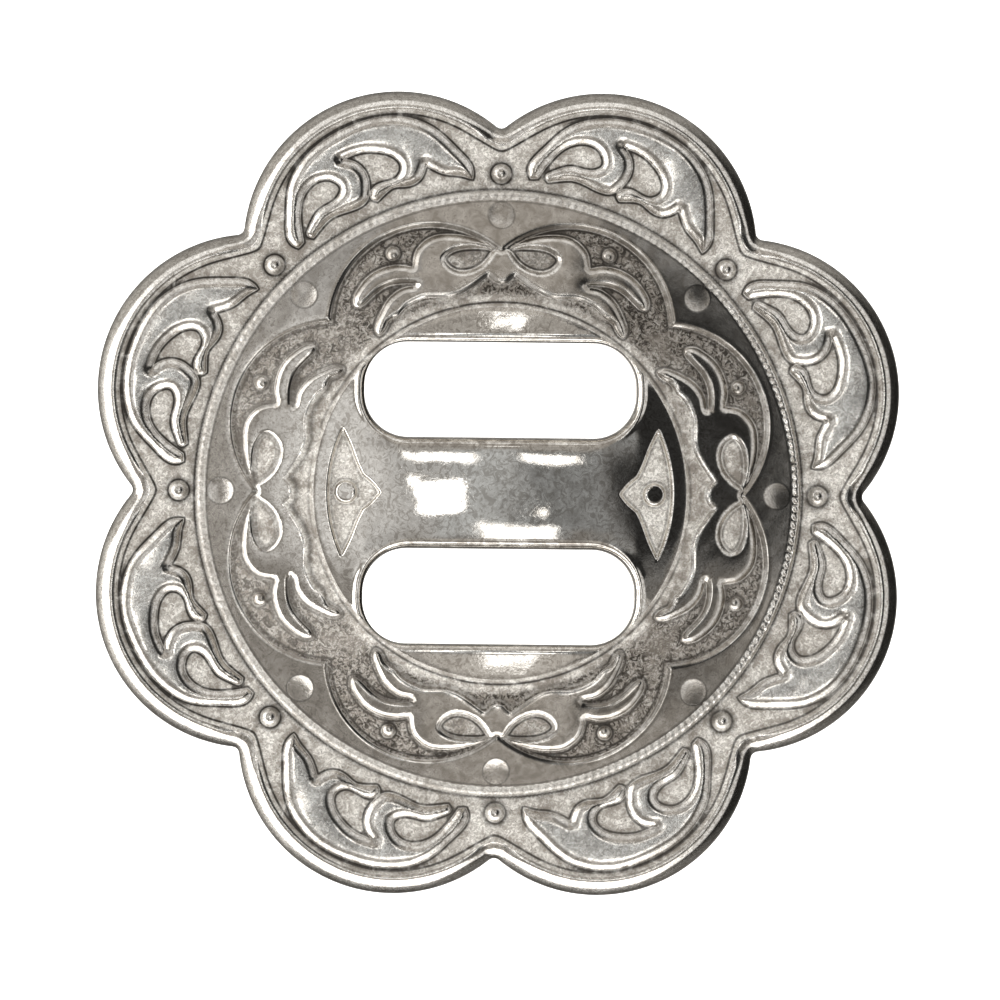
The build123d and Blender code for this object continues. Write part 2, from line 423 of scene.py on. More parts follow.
# Middle disc with its diamonds. A row is how far in from the diamond's outer edge, as a share of
# its width, and how far up, as a share of half its height.
disc = {"diameter": 20.0, "step": 0.16}
diamond = {
    "width": 2.85,
    "height": 6.95,
    "margin": 0.91,
    "bevel": 0.16,
    "dotWidth": 1.3,
    "dotMargin": 0.33,
    "flank": [(0.28, 1.0), (0.46, 0.7), (0.59, 0.42), (0.68, 0.27)],
    "nose": [(0.68, 0.27), (0.83, 0.17), (1.0, 0.0)],
}
discRadius = disc["diameter"] / 2
diamondOuter = discRadius - diamond["margin"]
dotMiddle = diamondOuter - diamond["dotMargin"] - diamond["dotWidth"] / 2


def diamondPlace(inset, up):
    return diamondOuter - inset * diamond["width"], up * diamond["height"] / 2


# Outline of the diamond at +X, anticlockwise from its upper tip.
def diamondOutline(spacing):
    upper = outlineFrom({side: diamond[side] for side in ("flank", "nose")}, diamondPlace, spacing)
    nose = np.array([diamondPlace(*diamond["nose"][-1])])
    tip = np.array(diamondPlace(*diamond["flank"][0]))
    arcRadius = ((diamondOuter - tip[0]) ** 2 + tip[1] ** 2) / (2 * (diamondOuter - tip[0]))
    sweep = math.asin(tip[1] / arcRadius)
    angles = np.linspace(-sweep, sweep, max(3, int(2 * sweep * arcRadius / spacing)))[1:]
    arc = np.stack([diamondOuter - arcRadius + arcRadius * np.cos(angles), arcRadius * np.sin(angles)], 1)
    return np.vstack([upper, nose, upper[::-1] * [1, -1], arc[:-1]])


# Strap slots and the bar between them
slots = {
    "length": 14.33,
    "width": 5.0,
    "corner": 2.3,
    "barWidth": 5.86,
    "sideRoll": 0.5,
    "sideDrop": 0.6,
    "endRoll": 0.42,
    "endDrop": 0.4,
    "lipRise": 0.15,
    "lipInset": 0.3,
    "lipWidth": 0.18,
    "barCrown": 0.17,
    "barEnds": 2.5,
}
slotMiddle = (slots["barWidth"] + slots["width"]) / 2


# Distance out from the nearer slot, and how much that way lies along Y.
def slotGap(points):
    qx = np.abs(points[:, 0]) - (slots["length"] / 2 - slots["corner"])
    qy = np.abs(np.abs(points[:, 1]) - slotMiddle) - (slots["width"] / 2 - slots["corner"])
    outX, outY = np.maximum(qx, 0), np.maximum(qy, 0)
    out = np.hypot(outX, outY)
    gap = out + np.minimum(np.maximum(qx, qy), 0) - slots["corner"]
    return gap, np.where(out > 1e-9, outY / np.maximum(out, 1e-9), 1.0)


# How wide a slot's rolled edge is, between its ends and its long sides.
def rollWidth(alongY):
    return slots["endRoll"] + (slots["sideRoll"] - slots["endRoll"]) * alongY**2


# Depth in from the rim, and distance out from the nearer slot.
def insideCasting(points):
    return rimDepth(seenFrom(points, lobes, halfTurn)), slotGap(points)[0]


# The upper slot's outline and the ways out of it, or the lower one's for side -1.
def slotLine(side, spacing):
    halfX, halfY = slots["length"] / 2 - slots["corner"], slots["width"] / 2 - slots["corner"]
    quarter = np.radians(np.linspace(0, 90, int(math.pi / 2 * slots["corner"] / spacing) + 1))
    angles = np.concatenate([quarter + math.radians(first) for first in (0, 90, 180, 270)])
    ways = np.stack([np.cos(angles), np.sin(angles)], 1)
    centres = [(halfX, halfY), (-halfX, halfY), (-halfX, -halfY), (halfX, -halfY)]
    corners = ways * slots["corner"] + np.repeat(centres, len(quarter), axis=0)
    closed, closedWays = [], []
    for a, b, way in zip(corners, np.roll(corners, -1, axis=0), ways):
        count = max(1, int(np.hypot(*(b - a)) / spacing))
        closed += [a + (b - a) * k / count for k in range(count)]
        closedWays += [way] * count
    return np.array(closed) + [0, side * slotMiddle], np.array(closedWays)


lineStep = 0.12
scrollOutline = outlineFrom(scroll["strokes"], scrollPlace, lineStep)
halfBow = outlineFrom(bows["strokes"], bowPlace, lineStep)
bowOutline = np.vstack([halfBow, [bowPlace(*bows["strokes"]["notch"][-1])], halfBow[:0:-1] * [-1, 1]])
teardropOutline = outlineFrom(bows["teardrop"], bowPlace, lineStep)
# 1 on the bow's inner edge, where the casting runs out in a wide skirt, and 0 on the rest of it
skirtStart = np.hypot(*(bowOutline - bowPlace(*bows["skirtFrom"])).T).argmin()
bowSkirt = ramp(np.arange(len(bowOutline)) - skirtStart, bows["skirtFade"])
bowSkirt = np.minimum(bowSkirt, np.roll(bowSkirt[::-1], 1))
diamondLine = diamondOutline(lineStep)
print("outlines drawn")


def domeHeight(r):
    return capCentre + np.sqrt(np.maximum(capRadius**2 - r**2, 0))


def smallBeadPlace(angle):
    return turned(np.array([[0, domeRadius - beads["smallInset"]]]), angle)[0]


# Depth inside an outline for the points where near is true, and which side of it is nearest.
def depthWhere(near, points, outline):
    depth, side = np.full(len(points), -9.0), np.zeros(len(points), int)
    depth[near], side[near] = depthAndSide(points[near], outline)
    return depth, side


# Where points lie: how far in from each form's edge, or out from it, and on which side of the dome.
def placesOf(points):
    at = SimpleNamespace(x=points[:, 0], y=points[:, 1], r=np.hypot(points[:, 0], points[:, 1]))
    at.onDome = at.r < domeRadius
    at.east, at.north = points.T / np.maximum(at.r, 0.1)
    at.sideways = at.east**2
    at.west, at.south = np.clip(-at.east, 0, 1) ** 2, np.clip(-at.north, 0, 1) ** 2
    lobe = seenFrom(points, lobes, halfTurn)
    valley = seenFrom(points, lobes)
    bow = seenFrom(points, bows["count"])
    bow[:, 0] = np.abs(bow[:, 0])

    # flange
    at.inRim = rimDepth(lobe)
    at.inBorder = borderDepth(lobe, valley)
    at.acrossValley = valley[:, 0]
    at.inScroll = depthWhere(~at.onDome, lobe, scrollOutline)[0]
    at.fromBead = distanceTo(valley, 0, beadDistance) - beadRadius

    # spandrels with their dimples, bows with their teardrops, small beads
    fromWindow = distanceTo(lobe, 0, windowDistance) - spandrels["windowRadius"]
    at.inSpandrel = np.minimum(fromWindow + spandrels["bevel"], at.r - (domeRadius - spandrels["depth"]))
    at.fromDimple = distanceTo(valley, 0, domeRadius - dimples["inset"]) - dimples["width"] / 2
    outside = at.onDome & (at.r > discRadius * 0.9)
    inBow, side = depthWhere(outside, bow, bowOutline)
    at.inTear = depthWhere(outside, bow, teardropOutline)[0]
    inBow = np.maximum(inBow, bows["crossingWidth"] / 2 - distanceTo(bow, 0, crossingDistance()))
    at.skirt = bowSkirt[side] * outside
    at.bowTop = inBow + bows["polishGrow"]
    at.bowTop += at.skirt * (bows["polishReach"] + at.sideways * bows["sideReach"])
    at.inBow = inBow + at.skirt * (bows["skirt"] + at.sideways * bows["sideReach"])
    at.outTear = bows["bevel"] - bows["teardropGrow"] - at.inTear
    at.fromSmall = distanceTo(bow, *smallBeadPlace(-beads["smallAngle"])) - smallRadius

    # disc with its diamonds and their dots
    side = np.stack([np.abs(at.x), at.y], 1)
    at.inDiamond = depthWhere((at.r < discRadius) & (side[:, 0] > discRadius * 0.5), side, diamondLine)[0]
    at.fromDot = distanceTo(side, dotMiddle, 0) - diamond["dotWidth"] / 2
    at.inPlate = np.minimum(discRadius - at.r, np.maximum(diamond["bevel"] - at.inDiamond, -at.fromDot))

    # ridge, from -1 to 1 across it, and slots
    at.acrossRidge = (at.r - ridgeRadius) / (ridge["width"] / 2)
    at.onRidge = np.abs(at.acrossRidge) < 1
    at.gap, at.alongY = slotGap(points)
    at.between = np.abs(at.y) < slotMiddle
    return at


# Height of the flange with its border, scrolls and beads.
def flangeHeight(points, at):
    borderBevel = border["bevel"] + border["cornerBevel"] * hump(at.acrossValley, border["cornerReach"])
    scrollUp = bevelStep((at.inScroll + scroll["spread"]) / scroll["bevel"])
    z = flange["thickness"] + scroll["rise"] * scrollUp
    z += border["rise"] * bevelStep(at.inBorder / borderBevel, shoulder=border["shoulder"])
    z += scroll["crown"] * swell(at.inScroll - scroll["bevel"] * scroll["crownFrom"], scroll["crownReach"])
    z += wave(points, "scrolls") * scrollUp
    z += beads["valleyRise"] * roundCap(at.fromBead, beadRadius) - moatDepth(at.fromBead, "valleyMoat")
    return z - rimDrop(at.inRim)


# How high the dome's relief stands: spandrels, bows, disc, small beads and dimples.
def reliefHeight(at):
    spandrelUp = bevelStep(at.inSpandrel / spandrels["bevel"])
    bowBevel = bows["bevel"] + at.skirt * (bows["skirt"] - bows["bevel"])
    tearDown = bevelStep((at.inTear + bows["teardropGrow"]) / bows["bevel"])
    bowUp = bevelStep(at.inBow / bowBevel) * (1 - tearDown)
    dotUp = bevelStep(-at.fromDot / diamond["bevel"])
    diamondDown = bevelStep(at.inDiamond / diamond["bevel"]) * (1 - dotUp)
    discUp = bevelStep((discRadius - at.r) / disc["step"]) * (1 - diamondDown)
    up = np.where(at.r > ridgeRadius, 0, np.maximum(np.maximum(spandrelUp, bowUp), discUp))
    fromTear = np.where(at.inTear > -0.1, 0, np.minimum(at.inBow - bowBevel, -at.inTear))
    z = dome["reliefRise"] * up + bows["crown"] * swell(fromTear, bows["crownReach"])
    z += beads["smallRise"] * roundCap(at.fromSmall, smallRadius) - moatDepth(at.fromSmall, "smallMoat")
    return z - dimples["depth"] * roundCap(at.fromDimple, dimples["width"] / 2)


# The ridge is pressed into short slanted strands, more worn in some places than in others.
def ridgeHeight(points, at):
    around = np.arctan2(at.y, at.x) * ridge["strands"] / 2
    strand = np.abs(np.sin(around + at.acrossRidge * ridge["slant"]))
    notch = ridge["notch"] * (1 + wave(points, "ridgeWear")) * (1 - strand) ** 2
    arch = np.sqrt(np.clip(1 - at.acrossRidge**2, 0, 1))
    return domeHeight(ridgeRadius) + ridge["rise"] * (1 - notch) * arch


# Height of the face, with the slots' rolled edges, their lips at both ends and the bar's crown.
def faceHeight(points, at):
    domeZ = domeHeight(at.r) + reliefHeight(at)
    domeZ = np.where(at.onRidge, np.maximum(domeZ, ridgeHeight(points, at)), domeZ)
    z = np.where(at.onDome, domeZ, flangeHeight(points, at))
    drop = slots["endDrop"] + (slots["sideDrop"] - slots["endDrop"]) * at.alongY**2
    z -= rolledDrop(at.gap, rollWidth(at.alongY), drop)
    z += slots["lipRise"] * hump(at.gap - slots["lipInset"], slots["lipWidth"]) * (1 - at.alongY**2)
    onBar = ramp(slots["length"] / 2 - np.abs(at.x), slots["barEnds"]) * at.between
    z -= slots["barCrown"] * onBar * (at.y / (slots["barWidth"] / 2)) ** 4
    z += wave(points, "whole")
    return z + np.where(at.r > discRadius, wave(points, "relief"), wave(points, "disc"))


# Where the polish ends: how far in from a form's own edge, or the depth that a half dull form has.
shine = {
    "west": 0.15,
    "south": 0.11,
    "disc": 0.15,
    "border": 0.14,
    "smallBead": 0.058,
    "dimple": 0.06,
    "ridge": 0.036,
    "ridgeEast": 0.028,
    "barEdge": 0.03,
    "bead": 0.068,
    "beadFoot": 0.04,
}
# Dark lines of oxide and painted shade, and wider grime, along the forms: how strong, how far out from the
# form's edge, how wide
darkLines = {
    "disc": (0.8, 0.03, 0.05),
    "insideRidge": (0.5, 0.0, 0.05),
    "outsideRidge": (1.1, 0.03, 0.09),
    "slot": (1.0, 0.0, 0.08),
    "rim": (1.1, 0.0, 0.11),
    "dimple": (0.5, 0.0, 0.042),
    "scroll": (1.8, -0.16, 0.1),
    "border": (1.0, -0.12, 0.14),
    "bead": (1.0, 0.09, 0.07),
    "smallBead": (0.8, 0.05, 0.05),
    "teardrop": (1.0, 0.08, 0.14),
    "bow": (1.0, 0.1, 0.13),
}
grimeBands = {
    "scroll": (1.0, -0.17, 0.26),
    "border": (1.0, -0.1, 0.15),
    "bead": (1.0, 0.0, 0.15),
    "outsideDome": (0.6, 0.2, 0.3),
    "relief": (1.0, -0.1, 0.3),
    "smallBead": (1.0, 0.1, 0.3),
    "teardrop": (1.0, 0.4, 0.4),
    "disc": (1.0, 0.0, 0.2),
    "barEdge": (1.0, 0.25, 0.22),
    "barAlong": (0.5, 2.2, 3.6),
    "barAcross": (1.0, 0.0, 2.0),
}
# How the painted shade of the dark lines and of the sandy ground differs round the piece, as if lit from one
# side, from 0 to 1
shade = {
    "full": 0.95,
    "lit": 0.15,
    "litX": 0.8,
    "litY": -0.6,
    "westLine": 0.6,
    "southLine": 0.35,
    "discSide": 0.8,
    "side": 0.5,
    "westSide": 0.1,
    "skirt": 0.9,
    "sandyAndShade": 0.97,
    "sandyEast": 0.08,
    "sandyNorth": 0.02,
    "sandySide": 0.25,
    "sandyOff": 0.92,
    "skirtOff": 0.4,
}
sandyRadius = 12  # inside it the dome's two sides are smooth, not sandy
bare = -0.3  # a depth for ground that lies far from any relief
# What the finish follows: how far in from the foot of the relief, and from the edge of what is polished,
# a point lies; dark lines of oxide and painted shade; how strong the painted shade at the relief's foot is;
# wider grime; sandy ground with painted shade; wear.
maskNames = ("edge", "top", "foot", "creviceShade", "grime", "sandyAndShade", "polish")


# The sum of the named stripes, each at a distance from its own form.
def stripes(rows, distances):
    parts = [(*rows[name], distance) for name, distance in distances.items()]
    return sum(strength * hump(distance - away, width) for strength, away, width, distance in parts)


def dark(**distances):
    return stripes(darkLines, distances)


def dirt(**distances):
    return stripes(grimeBands, distances)


def finishMasks(at):
    inBows = np.minimum(at.inBow, at.outTear)
    edge = np.maximum(np.maximum(at.inSpandrel, inBows), np.maximum(at.inPlate, -at.fromSmall))
    edge = np.where(at.r > ridgeRadius, bare, edge)
    scrollEdge = at.inScroll + scroll["spread"]
    edge = np.where(at.onDome, edge, np.maximum(at.inBorder, np.maximum(scrollEdge, -at.fromBead)))

    barEdge = dirt(barEdge=at.gap) * at.alongY**2 * at.between
    top = np.maximum(at.inSpandrel, np.minimum(at.bowTop, at.outTear))
    top = top - shine["west"] * at.west - shine["south"] * at.south
    top = np.maximum(top, np.minimum(-at.fromSmall, shine["smallBead"]))
    top = np.maximum(top, np.minimum(at.inPlate, discRadius - shine["disc"] - at.r))
    top = np.minimum(top, np.where(at.fromDimple < 0, shine["dimple"], 1))
    ridgeTop = shine["ridge"] + shine["ridgeEast"] * at.sideways * (at.x > 0)
    top = np.where(at.onRidge, ridgeTop, np.where(at.r > ridgeRadius, bare, top))
    top -= barEdge * np.maximum(top - shine["barEdge"] * (at.y > 0), 0)
    beadTop = shine["bead"] - shine["beadFoot"] * (at.fromBead / beadRadius + 1) ** 2
    flangeTop = np.where(at.fromBead < 0, beadTop, np.maximum(at.inBorder - shine["border"], scrollEdge))
    top = np.where(at.onDome, top, flangeTop)

    # dark lines of oxide with painted shade, stronger on the sides that face away from the light
    lit = shade["litX"] * at.east + shade["litY"] * at.north
    leeward = np.clip(shade["full"] - shade["lit"] * lit, 0, 1)
    # painted shade: darkest in the narrow grooves where a scroll and the border nearly meet
    flangeFoot = dark(scroll=at.inScroll) * dark(border=at.inBorder)
    flangeFoot = leeward**2 * flangeFoot + dark(bead=at.fromBead)
    bowFoot = dark(bow=at.inBow) * (at.inTear < -0.1)
    bowFoot = np.maximum(dark(teardrop=at.inTear), bowFoot)
    # painted shade: the bows' dark foot lines only on the -X and -Y sides
    domeFoot = bowFoot * (shade["westLine"] * at.west + shade["southLine"] * at.south)
    domeFoot += dark(smallBead=at.fromSmall, dimple=at.fromDimple)
    foot = np.where(at.onDome, domeFoot, flangeFoot)
    # painted shade: the disc's dark edge line is fainter at the two sides
    foot += dark(disc=at.r - discRadius) * (1 - shade["discSide"] * at.sideways)
    foot += dark(insideRidge=at.r - ridgeRadius + ridge["width"] / 2, outsideRidge=at.r - domeRadius)
    foot += dark(slot=at.gap, rim=at.inRim)
    openSkirt = at.skirt * (at.inBow > -0.3) * (at.bowTop < 0.1)
    # painted shade in the relief's crevices: weaker at the dome's two sides and on open skirts, and on the
    # flange weaker towards the light
    domeCreviceShade = shade["full"] - (shade["side"] + shade["westSide"] * (at.x < 0)) * at.sideways
    creviceShade = np.where(at.onDome, domeCreviceShade * (1 - shade["skirt"] * openSkirt), leeward)

    flangeGrime = dirt(scroll=at.inScroll, border=at.inBorder, bead=at.fromBead)
    flangeGrime += dirt(outsideDome=at.r - domeRadius)
    inRelief = np.maximum(at.inSpandrel, at.inBow)
    grime = dirt(relief=inRelief, smallBead=at.fromSmall, teardrop=at.inTear, disc=at.r - discRadius)
    grime += barEdge + dirt(barAlong=at.x) * dirt(barAcross=at.y)
    grime = np.where(at.onDome, grime, flangeGrime)

    # the sandy ground fades on the skirts, inside the teardrops and at the dome's two sides
    onSide = ramp(sandyRadius - at.r, 0.8) * ramp(at.sideways - 0.6, 0.3)
    onSkirt = np.maximum(at.skirt * ramp(at.inBow, 0.1) * (at.bowTop < 0), at.inTear > -0.1)
    onSkirt = onSkirt * (shade["skirtOff"] + (1 - shade["skirtOff"]) * at.sideways)
    # the sandy ground also carries painted shade: heavier at the top and bottom than at the two sides, and
    # heavier on the +X side than on the -X side
    sandyAndShade = shade["sandyAndShade"] + shade["sandyEast"] * at.east + shade["sandyNorth"] * at.north
    sandyAndShade -= shade["sandySide"] * at.sideways
    sandyAndShade *= 1 - shade["sandyOff"] * np.maximum(onSide, onSkirt)
    sandyAndShade *= ramp(at.r - discRadius - 0.1, 0.6) * at.onDome * (1 - at.onRidge)
    polish = ramp(discRadius - 0.2 - at.r, 0.4)
    edge, top = np.clip(edge, -1, 1), np.clip(top, -1, 1)
    foot, grime = np.clip(foot, 0, 1), np.clip(grime, 0, 1)
    return np.column_stack([edge, top, foot, creviceShade, grime, sandyAndShade, polish])


# Keeps points that stand at least gap from those kept before them.
class Sieve:
    def __init__(self, cell):
        self.cell = cell
        self.cells = {}
        self.kept = []

    def clear(self, p, gap):
        reach = int(math.ceil(gap / self.cell))
        ci, cj = int(p[0] // self.cell), int(p[1] // self.cell)
        for i in range(ci - reach, ci + reach + 1):
            for j in range(cj - reach, cj + reach + 1):
                for q in self.cells.get((i, j), ()):
                    if (q[0] - p[0]) ** 2 + (q[1] - p[1]) ** 2 < gap * gap:
                        return False
        return True

    def add(self, points, gap):
        for p in points.tolist():
            if gap == 0 or self.clear(p, gap):
                self.cells.setdefault((int(p[0] // self.cell), int(p[1] // self.cell)), []).append(p)
                self.kept.append(p)


# Ways out of a closed outline, to its right hand or left hand, whichever leads inside.
def inwardWays(outline):
    along = np.roll(outline, -1, axis=0) - np.roll(outline, 1, axis=0)
    way = np.stack([-along[:, 1], along[:, 0]], 1) / np.maximum(np.hypot(*along.T), 1e-9)[:, None]
    test = depthInside(outline + way * 0.02, outline)
    return way * np.where(test.mean() > 0, 1, -1)


# Points at given depths in from a stretch of an outline, less those that lie nearer to another one.
def contourPoints(stretch, ways, outline, depths, slack=0.012):
    found = []
    for depth in depths:
        points = stretch + ways * depth
        found.append(points[np.abs(depthInside(points, outline) - depth) < slack])
    return np.vstack(found)


# Points along the middle of strokes too thin to have a flat top.
def spinePoints(outline, ways, bevel):
    found = []
    for depth in np.arange(0.08, bevel, 0.04):
        points = outline + ways * depth
        short = depth - depthInside(points, outline)
        found.append(points[(short > 0.004) & (short < 0.035)])
    return np.vstack(found)


def ringPoints(radius, spacing, centre=(0, 0)):
    count = max(8, int(2 * math.pi * radius / spacing))
    angle = np.linspace(0, 2 * math.pi, count, endpoint=False)
    return np.stack([np.cos(angle), np.sin(angle)], 1) * radius + centre


def bevelDepths(bevel, spread=0.0):
    across = [bevel * 0.35, bevel * 0.65, bevel - 0.05, bevel + 0.02, bevel + 0.1, bevel + 0.24]
    return [depth - spread for depth in [-0.2, -0.09, -0.03, 0.03] + across]


# An outline, lines on and beside its bevel, and the middle of its thin strokes.
def reliefPoints(outline, bevel, spread=0.0):
    ways = inwardWays(outline)
    contours = contourPoints(outline, ways, outline, bevelDepths(bevel, spread))
    return np.vstack([outline, contours, spinePoints(outline, ways, bevel)])


# How far apart the net's points are along its lines, and in the open fields.
density = {
    "outer": 0.2,
    "slot": 0.2,
    "fine": 0.1,
    "window": 0.12,
    "border": 0.15,
    "ridge": 0.1,
    "domeFoot": 0.2,
    "disc": 0.16,
    "fill": 0.22,
    "fillGap": 0.13,
}
# Where the face's net has lines: at gives depths in from an outline, or shares of a radius, and gap
# says how near to earlier points they may come.
netLines = {
    "rim": {"at": (0.1, 0.22, 0.34, 0.43, 0.5, 0.58, 0.68, 0.78), "gap": 0.05},
    "border": {"at": (0.0, 0.36, 0.3, 0.22, 0.11, -0.09, -0.2), "gap": 0.055},
    "slot": {"at": (0.04, 0.12, 0.24, 0.38, 0.54, 0.7, 0.86, 1.0, 1.16, 1.35), "gap": 0.04},
    "relief": {"gap": 0.05},
    "skirt": {"at": (-0.75, -0.67, -0.6, -0.52, -0.46, -0.4, -0.33, -0.26), "gap": 0.06},
    "ridge": {"at": (-1.3, -1.02, -0.7, -0.3, 0.1, 0.5, 0.9), "gap": 0.055},
    "domeFoot": {"at": (0.0, 0.05, 0.14), "gap": 0.03},
    "disc": {"at": (0.2, 0.08, 0.02, -0.04, -0.1, -0.15, -0.24), "gap": 0.04},
    "dot": {"at": (-0.3, -0.19, -0.14, -0.08, -0.02, 0.03, 0.1), "gap": 0.04},
    "diamond": {"at": (-0.1, -0.03, 0.03, 0.08, 0.14, 0.19, 0.28)},
    "bead": {"at": (0.2, 0.4, 0.6, 0.78, 0.9, 0.975, 1.03, 1.12, 1.3), "gap": 0.035},
    "smallBead": {"at": (0.2, 0.45, 0.7, 0.88, 0.975, 1.04, 1.2, 1.45), "gap": 0.035},
    "dimple": {"at": (0.15, 0.35, 0.55, 0.75, 0.9, 0.97, 1.02, 1.12), "gap": 0.035},
}


# Points in rows over the whole casting; every second row is moved along by the share stagger.
def gridPoints(spacing, rowSpacing, stagger=0.0, offset=(0, 0)):
    reach = outerRadius + 1
    gridX, gridY = np.meshgrid(np.arange(-reach, reach, spacing), np.arange(-reach, reach, rowSpacing))
    gridX = gridX + (np.arange(len(gridX)) % 2)[:, None] * spacing * stagger
    return np.stack([gridX.ravel(), gridY.ravel()], 1) + offset


# The upper edges of the spandrel windows, kept to where they stand clear of the bows.
def windowPoints():
    found = []
    foot = spandrels["windowRadius"] - spandrels["bevel"]
    for depth in bevelDepths(spandrels["bevel"]):
        points = ringPoints(foot + depth, density["window"], (0, windowDistance))
        r = np.hypot(*points.T)
        found.append(points[(r > domeRadius - spandrels["depth"]) & (r < ridgeRadius)])
    window = repeated(np.vstack(found), lobes, halfTurn)
    own = distanceTo(seenFrom(window, lobes, halfTurn), 0, windowDistance)
    return window[own > foot - 0.22]


# Every point of the face's net, outline by outline, finest first.
def facePoints():
    outerLine, outerWays = rimLine(density["outer"])
    slotLines = [slotLine(side, density["slot"]) for side in (1, -1)]
    loops = [outerLine] + [line for line, _ in slotLines]
    sieve = Sieve(0.1)
    for loop in loops:
        sieve.add(loop, 0)

    def lay(name, points):
        sieve.add(points, netLines[name]["gap"])

    # rings round a centre, at shares of a radius, repeated round the middle
    def layRounds(name, radius, centre, count):
        rounds = [ringPoints(radius * share, density["fine"], centre) for share in netLines[name]["at"]]
        lay(name, repeated(np.vstack(rounds), count))

    for depth in netLines["rim"]["at"]:
        lay("rim", outerLine + outerWays * depth)
    for depth in netLines["border"]["at"]:
        lay("border", borderLine(depth, density["border"]))
    for line, ways in slotLines:
        for share in netLines["slot"]["at"]:
            lay("slot", line + ways * rollWidth(np.abs(ways[:, 1:2])) * share)
    scrolls = reliefPoints(scrollOutline, scroll["bevel"], scroll["spread"])
    lay("relief", repeated(scrolls, lobes, halfTurn))
    lay("relief", windowPoints())

    # bows and teardrops
    onSkirt = np.flatnonzero(bowSkirt)
    ways = inwardWays(bowOutline)[onSkirt]
    found = contourPoints(bowOutline[onSkirt], ways, bowOutline, netLines["skirt"]["at"])
    lay("skirt", repeated(found, bows["count"]))
    lay("relief", repeated(reliefPoints(bowOutline, bows["bevel"]), bows["count"]))
    found = reliefPoints(teardropOutline, bows["bevel"])
    for side in (1, -1):
        lay("relief", repeated(found * [side, 1], bows["count"]))

    # ridge, dome's foot, disc, dots, beads and dimples
    for share in netLines["ridge"]["at"]:
        lay("ridge", ringPoints(ridgeRadius + share * ridge["width"] / 2, density["ridge"]))
    for offset in netLines["domeFoot"]["at"]:
        lay("domeFoot", ringPoints(domeRadius + offset, density["domeFoot"]))
    for offset in netLines["disc"]["at"]:
        lay("disc", ringPoints(discRadius + offset, density["disc"]))
    found = [
        ringPoints(diamond["dotWidth"] / 2 + offset, density["fine"], (dotMiddle, 0))
        for offset in netLines["dot"]["at"]
    ]
    found.append(contourPoints(diamondLine, inwardWays(diamondLine), diamondLine, netLines["diamond"]["at"]))
    lay("dot", repeated(np.vstack(found), 2))
    layRounds("bead", beadRadius, (0, beadDistance), lobes)
    for angle in (beads["smallAngle"], -beads["smallAngle"]):
        layRounds("smallBead", smallRadius, smallBeadPlace(angle), bows["count"])
    layRounds("dimple", dimples["width"] / 2, (0, domeRadius - dimples["inset"]), lobes)
    print("face lines", len(sieve.kept))

    # the open fields between the lines
    grid = gridPoints(density["fill"], density["fill"] * math.sqrt(3) / 2, 0.5)
    inRim, gap = insideCasting(grid)
    sieve.add(grid[(inRim > 0.1) & (gap > 0.1)], density["fillGap"])
    print("face points", len(sieve.kept))
    return np.array(sieve.kept), loops


# Triangles between points, with loops of them as edges and nothing outside the loops. The loops
# lie inside the casting's outline and outside its slots by the two insets.
def netOver(points, loops, rimInset=0.0, slotInset=0.0):
    edges, first = [], 0
    for loop in loops:
        count = len(loop)
        edges += [(first + i, first + (i + 1) % count) for i in range(count)]
        first += count
    made = delaunay_2d_cdt([Vector(p) for p in points.tolist()], edges, [], 0, 1e-7, False)
    if len(made[0]) != len(points):
        raise ValueError("two points of the net are the same")
    triangles = np.array(made[2])
    inRim, gap = insideCasting(points[triangles].mean(1))
    return triangles[(inRim > rimInset - 1e-4) & (gap > slotInset - 1e-4)]


# Quads between two rings of vertex numbers.
def band(ringA, ringB):
    after = np.roll(ringA, -1), np.roll(ringB, -1)
    return np.stack([ringA, after[0], after[1], ringB], 1)


back = {
    "fill": 0.8,
    "fillGap": 0.35,
    "offset": (0.013, 0.007),
    "rimClear": 0.5,
    "slotClear": 0.4,
    "slotRound": 0.12,
    "hollowLines": (0.0, 0.25, -0.25),
    "hollowSpacing": 0.35,
    "hollowGap": 0.12,
    "wallSteps": 2,
    "roundSteps": 4,
}
hollowRadius = capRadius - dome["wall"]
hollowEdge = math.sqrt(hollowRadius**2 - capCentre**2)


# Height of the back: flat under the flange, hollow under the dome.
def backHeight(points):
    r = np.hypot(points[:, 0], points[:, 1])
    return np.maximum(capCentre + np.sqrt(np.maximum(hollowRadius**2 - r**2, 0)), 0)


# The rings of a wall's points, downwards: how far in from its top each lies, and how high.
def wallLevels(top, low, rounding):
    steps, rounds = back["wallSteps"], back["roundSteps"]
    levels = [(0, top + (low + rounding - top) * k / steps) for k in range(1, steps + 1)]
    for k in range(1, rounds + 1):
        turn = math.pi / 2 * k / rounds
        levels.append((rounding * (1 - math.cos(turn)), low + rounding * (1 - math.sin(turn))))
    return levels


# The back's own points, which start with the last rings of the walls, and its triangles.
def backNet(loops):
    sieve = Sieve(0.4)
    for loop in loops:
        sieve.add(loop, 0)
    for offset in back["hollowLines"]:
        sieve.add(ringPoints(hollowEdge + offset, back["hollowSpacing"]), back["hollowGap"])
    grid = gridPoints(back["fill"], back["fill"], offset=back["offset"])
    inRim, gap = insideCasting(grid)
    sieve.add(grid[(inRim > back["rimClear"]) & (gap > back["slotClear"])], back["fillGap"])
    points = np.array(sieve.kept)
    return points, netOver(points, loops, flange["backRound"], back["slotRound"])


